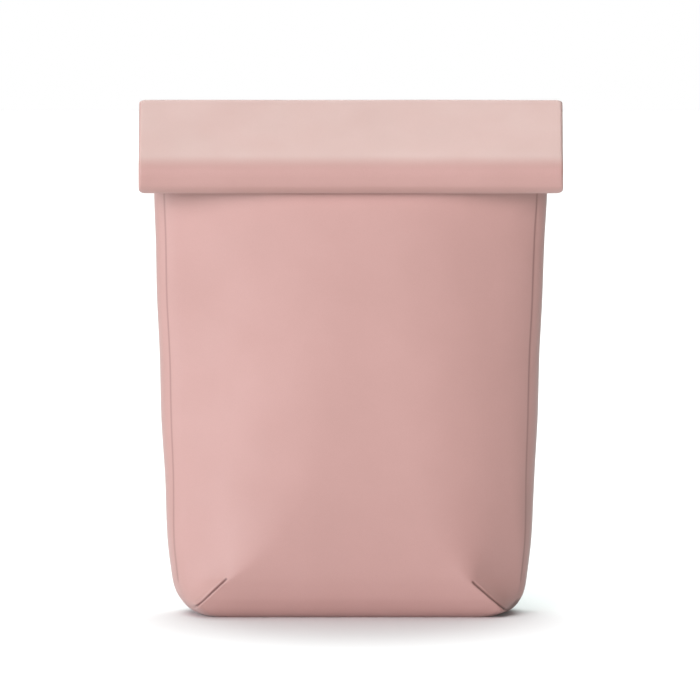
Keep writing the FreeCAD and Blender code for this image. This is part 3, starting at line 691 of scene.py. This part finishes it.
def tubeSheet(name, stations):
    across = np.array(acrossTube())
    piece, column, row = sheetGrid(name, len(across), len(stations))
    outer = np.array([station[0] for station in stations])[row]
    inner = np.array([station[1] for station in stations])[row]
    placed = outer + (inner - outer) * across[column][:, 1:2]
    writePoints(piece, waveOver(np.column_stack([across[column][:, 0], placed]) * mm, across[column][:, 1]))
    piece.data.flip_normals()  # outwards, so that the sheet thickens inwards
    thicken(piece, roll["sheet"] * mm, 0)
    return piece


ridgeSheet = tubeSheet("ridgeSheet", ridgeStations)
browSheet = tubeSheet("browSheet", browStations)
hemSheet = tubeSheet("hemSheet", hemStations)
print("stage: folded mouth")


# The front sheet of the tube, on the inside of every fold. Its path is the face that looks out of the tube
def innerSheet(name, path):
    piece, column, row = sheetGrid(name, roll["innerSteps"], len(path))
    across = np.linspace(-1, 1, roll["innerSteps"])[column] * (roll["halfWidth"] - roll["lap"])
    writePoints(piece, waveOver(np.column_stack([across, np.array(path)[row]]) * mm))
    thicken(piece, roll["sheet"] * mm, 0)
    return piece


insideFold = roll["innerRadius"]
neckPath = [arcPoint(roll["neck"], insideFold, turn) for turn in np.linspace(foldTurn - 180, foldTurn, 33)]
neckPath += [flapPoint(reach, insideFold) for reach in np.linspace(roll["neckSetback"], flapLength / 2, 8)[1:]]
browPath = [flapPoint(reach, insideFold) for reach in np.linspace(flapLength / 2, flapLength, 8)[:-1]]
browPath += [arcPoint(roll["brow"], roll["browInside"], turn) for turn in np.linspace(foldTurn, 180, 8)]
browPath += [np.array([roll["bandInside"], roll["bandMiddle"]])]
hemPath = [np.array([roll["bandInside"], height])
           for height in np.linspace(roll["bandMiddle"], bandLow, 4)[:-1]]
hemPath += [arcPoint(roll["innerHem"], insideFold, turn) for turn in np.linspace(180, 360, 33)]
hemPath += [np.array([roll["lipInside"], height]) for height in np.linspace(bandLow, roll["lipTop"], 5)[1:]]
neckSheet = innerSheet("neckSheet", neckPath)
browInnerSheet = innerSheet("browInnerSheet", browPath)
hemInnerSheet = innerSheet("hemInnerSheet", hemPath)
print("stage: inner sheet")

# The gusset's top is tucked in under the ridge at each end
tuck = {"from": 117.4, "to": 121.6, "edge": 0.5,
        "outline": [(19.4, 291.3), (13.4, 291.3), (12.9, 292.4), (17.1, 295.6), (18.3, 297.9), (19.3, 296.6)]}
ridgeTucks = []
for side, name in ((-1, "ridgeTuckLeft"), (1, "ridgeTuckRight")):
    clearSelection()
    bpy.ops.mesh.primitive_circle_add(
        vertices=len(tuck["outline"]), radius=0.01, fill_type="NGON", location=(0, 0, 0))
    piece = bpy.context.object
    piece.name = name
    writePoints(piece, np.array([(side * tuck["from"], y, z) for y, z in tuck["outline"]]) * mm)
    bpy.ops.object.mode_set(mode="EDIT")
    bpy.ops.mesh.select_all(action="SELECT")
    reach = side * (tuck["to"] - tuck["from"]) * mm
    bpy.ops.mesh.extrude_region_move(TRANSFORM_OT_translate={"value": (reach, 0, 0)})
    bpy.ops.mesh.select_all(action="SELECT")
    bpy.ops.mesh.normals_make_consistent(inside=False)
    bpy.ops.mesh.bevel(offset=tuck["edge"] * mm, segments=3)
    bpy.ops.object.mode_set(mode="OBJECT")
    bpy.ops.object.shade_smooth_by_angle(angle=math.radians(50))
    piece.data.materials.append(silicone)
    ridgeTucks.append(piece)
print("stage: ridge tucks")

# ---- what each piece rides on
for piece in (*panels.values(), basePanel, *ridgeTucks, *dartTapes.values()):
    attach(piece, "bag")
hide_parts("front_panel")
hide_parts("back_panel")
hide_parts("side_gusset_left")
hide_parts("side_gusset_right")
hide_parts("base_panel")
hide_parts("corner_dart_tape_left")
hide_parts("corner_dart_tape_right")


# Where each fold passes from one body to the next, in the plane across the folds. The legs on each side of a fold lie
# wholly outside its span. The sheets are only baked in place here, not tied to the bodies or bent.
ridgeStart, ridgeEnd = (arcPoint(roll["ridge"], roll["ridgeRadius"], turn) for turn in (0, foldTurn))
neckStart, neckEnd = (np.array(roll["neck"]) + offFlap * side * roll["neckSpan"] for side in (-1, 1))
longer = 1 + roll["ridgeSpread"]
folds = [
    (ridgeSheet, "bag", "top_flap",
     ridgeStart * longer - ridgeEnd * roll["ridgeSpread"], ridgeEnd * longer - ridgeStart * roll["ridgeSpread"]),
    (neckSheet, "bag", "top_flap", neckStart, neckEnd),
    (browSheet, "top_flap", "front_band", *roll["browSpan"]),
    (browInnerSheet, "top_flap", "front_band", *roll["browSpan"]),
    (hemSheet, "front_band", "lips", *roll["hemSpan"]),
    (hemInnerSheet, "front_band", "lips", *roll["hemSpan"]),
]
for piece, bodyA, bodyB, start, end in folds:
    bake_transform(piece)
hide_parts("ridge_fold")
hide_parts("flap_outer_sheet", "brow_fold", "band_outer_sheet")
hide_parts("hem_fold", "lip_back_sheet")
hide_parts("neck_fold", "flap_inner_sheet")
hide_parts("brow_inner_fold", "band_inner_sheet")
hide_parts("hem_inner_fold", "lip_front_sheet")

# ---- CAD pieces that stay, with better finishes
board, nickel = insideMaterial("boardPlastic", boardPlastic), insideMaterial("nickelPlate", nickelPlate)
kept = {
    "catch_magnet_cover": silicone,
    "base_board": board, "lip_back_stiffener": board, "lip_front_stiffener": board,
    "catch_magnets": nickel, "lip_magnets": nickel,
}
for name, finish in kept.items():
    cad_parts[name].data.materials.clear()
    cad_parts[name].data.materials.append(finish)

# ---- floor, light and camera
# Each light: the direction it comes from, its spread in degrees, strength and tone
studio = {
    # glow: painted light, emitted by the floor away from the bag
    "floor": (0.66, 0.612, 0.622), "glow": 0.28, "glowFrom": 0.10, "glowTo": 0.26, "glowNarrow": 1.6,
    "glowTone": (1, 0.98, 0.98), "floorSize": 12, "cameraDistance": 5.0, "elevation": 4.4,
    "aim": (-0.0005, 0.0, 0.1543), "fieldWidth": 0.4096,
    "lights": {
        "topLight": ((-0.05, 0.42, 1.0), 72, 4.3, (0.83, 1, 0.966)),
        "frontLight": ((-0.2, -1.0, 0.45), 50, 1.85, (1, 0.82, 0.81)),
        "leftLight": ((-1.0, -0.85, 0.25), 50, 3.3, (0.87, 0.946, 1)),
    },
}
clearSelection()
bpy.ops.mesh.primitive_plane_add(size=studio["floorSize"], location=(0, 0, 0))
floor = bpy.context.object
floor.name = "floor"
floorMaterial = bpy.data.materials.new("paleFloorPaintedGlow")
floorMaterial.use_nodes = True
floorNodes, floorLinks = floorMaterial.node_tree.nodes, floorMaterial.node_tree.links
floorShader = floorNodes["Principled BSDF"]
floorShader.inputs["Base Color"].default_value = (*studio["floor"], 1)
floorShader.inputs["Roughness"].default_value = 0.9
floorShader.inputs["Specular IOR Level"].default_value = 0.2
floorShader.inputs["Emission Color"].default_value = (*studio["glowTone"], 1)
# painted light: the floor glows, up to white, away from the bag
floorPlace = floorNodes.new("ShaderNodeTexCoord")
squeezed = floorNodes.new("ShaderNodeMapping")
squeezed.inputs["Scale"].default_value = (studio["glowNarrow"], 1, 1)
fromBag = floorNodes.new("ShaderNodeVectorMath")
fromBag.operation = "LENGTH"
glowRange = floorNodes.new("ShaderNodeMapRange")
glowRange.interpolation_type = "SMOOTHSTEP"
glowRange.inputs["From Min"].default_value = studio["glowFrom"]
glowRange.inputs["From Max"].default_value = studio["glowTo"]
glowRange.inputs["To Max"].default_value = studio["glow"]
floorLinks.new(floorPlace.outputs["Object"], squeezed.inputs["Vector"])
floorLinks.new(squeezed.outputs["Vector"], fromBag.inputs[0])
floorLinks.new(fromBag.outputs["Value"], glowRange.inputs["Value"])
floorLinks.new(glowRange.outputs["Result"], floorShader.inputs["Emission Strength"])
floor.data.materials.append(floorMaterial)

world = bpy.data.worlds.new("studioWorld")
bpy.context.scene.world = world
world.use_nodes = True
worldNodes, worldLinks = world.node_tree.nodes, world.node_tree.links
dim = worldNodes["Background"]  # what lights the scene: nothing, the lamps do
dim.inputs["Strength"].default_value = 0.0
backdrop = worldNodes.new("ShaderNodeBackground")  # what the camera sees behind the bag
backdrop.inputs["Color"].default_value = (1, 1, 1, 1)
seen = worldNodes.new("ShaderNodeLightPath")
either = worldNodes.new("ShaderNodeMixShader")
worldLinks.new(seen.outputs["Is Camera Ray"], either.inputs["Fac"])
worldLinks.new(dim.outputs["Background"], either.inputs[1])
worldLinks.new(backdrop.outputs["Background"], either.inputs[2])
worldLinks.new(either.outputs["Shader"], worldNodes["World Output"].inputs["Surface"])


# Large soft lights far away
for name, (place, spread, strength, tone) in studio["lights"].items():
    light = bpy.data.lights.new(name, "SUN")
    light.energy = strength
    light.angle = math.radians(spread)
    light.color = tone
    lamp = bpy.data.objects.new(name, light)
    lamp.rotation_euler = (-Vector(place)).to_track_quat("-Z", "Y").to_euler()
    bpy.context.collection.objects.link(lamp)

camera = bpy.data.cameras.new("camera")
eye = bpy.data.objects.new("camera", camera)
bpy.context.collection.objects.link(eye)
lift = math.radians(studio["elevation"])
aim = Vector(studio["aim"])
eye.location = aim + Vector((0, -math.cos(lift), math.sin(lift))) * studio["cameraDistance"]
eye.rotation_euler = (aim - eye.location).to_track_quat("-Z", "Y").to_euler()
camera.sensor_width = 36
camera.lens = 36 * studio["cameraDistance"] / studio["fieldWidth"]
camera.clip_end = 50
bpy.context.scene.camera = eye

print("stage: scene ready")
